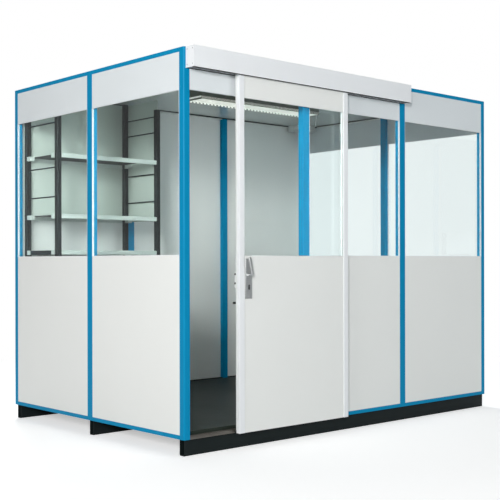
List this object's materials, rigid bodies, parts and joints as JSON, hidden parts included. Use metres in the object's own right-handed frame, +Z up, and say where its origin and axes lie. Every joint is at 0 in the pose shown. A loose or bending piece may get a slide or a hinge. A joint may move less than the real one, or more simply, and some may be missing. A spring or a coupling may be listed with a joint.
{
  "type": "workshop cabin",
  "caption": "Glazed steel-framed workshop cabin on skids with white panels, an outside sliding door under a track cover, a shelf rack and a ceiling lamp.",
  "frame": {"origin": "centre of the middle skid's underside, which is the centre of the cabin's plan at the ground", "axes": "+X along the front wall to the right as seen from outside, +Y from the front wall to the back wall, +Z up"},
  "size_m": [3.06, 2.1588, 2.45],
  "materials": {
    "blue_enamel": "gloss enamel",
    "panel_white": "smooth coated sheet",
    "profile_white": "powder coated profile",
    "black_steel": "satin black paint",
    "floor_covering": "smooth dark floor covering",
    "ceiling_white": "semi-gloss coated board",
    "roof_coating": "coated roof sheet",
    "aluminium_profile": "anodised",
    "clear_glass": "clear float glass",
    "zinc_steel": "zinc plated",
    "black_rubber": "moulded rubber",
    "shelf_steel": "light grey coated sheet",
    "lamp_grey": "grey enamel",
    "lamp_louvre": "white louvre",
    "white_plastic": "moulded plastic"
  },
  "bodies": {
    "cabin": {"skids": "black_steel", "corner_posts": "blue_enamel", "front_posts": "blue_enamel", "back_posts": "blue_enamel", "side_posts": "blue_enamel", "front_rails": "blue_enamel", "back_rails": "blue_enamel", "left_rails": "blue_enamel", "right_rails": "blue_enamel", "floor_deck": "floor_covering", "ceiling_board": "ceiling_white", "roof_sheet": "roof_coating", "door_threshold": "aluminium_profile", "front_lower_panels": "panel_white", "left_lower_panels": "panel_white", "right_lower_panels": "panel_white", "front_fascias": "panel_white", "left_fascias": "panel_white", "right_fascias": "panel_white", "back_wall_panels": "panel_white", "front_panes": "clear_glass", "left_panes": "clear_glass", "right_panes": "clear_glass", "glazing_uprights": "profile_white", "glazing_crossbars": "profile_white", "track_cover": "profile_white", "door_track": "aluminium_profile", "rack_uprights": "black_steel", "rack_rungs": "black_steel", "rack_shelves": "shelf_steel", "rack_clips": "shelf_steel", "lamp_housing": "lamp_grey", "lamp_louvre": "lamp_louvre", "junction_box": "white_plastic", "lamp_lead": "white_plastic"},
    "sliding_door": {"door_stiles": "profile_white", "door_rails": "profile_white", "door_panels": "panel_white", "door_pane": "clear_glass", "door_hangers": "zinc_steel", "door_guide_shoes": "black_rubber", "door_buffer": "black_rubber", "lock_case": "panel_white", "lock_plates": "aluminium_profile"},
    "door_lever": {"door_levers": "aluminium_profile"}
  },
  "joints": [
    {"name": "door_slide", "type": "slide", "parent": "cabin", "child": "sliding_door", "axis": [1, 0, 0], "range_m": [-0.36, 0.45]},
    {"name": "lever_turn", "type": "hinge", "parent": "sliding_door", "child": "door_lever", "pos_m": [-1.062, -1.0695, 1.083], "axis": [0, 1, 0], "range_deg": [0, 45]}
  ]
}
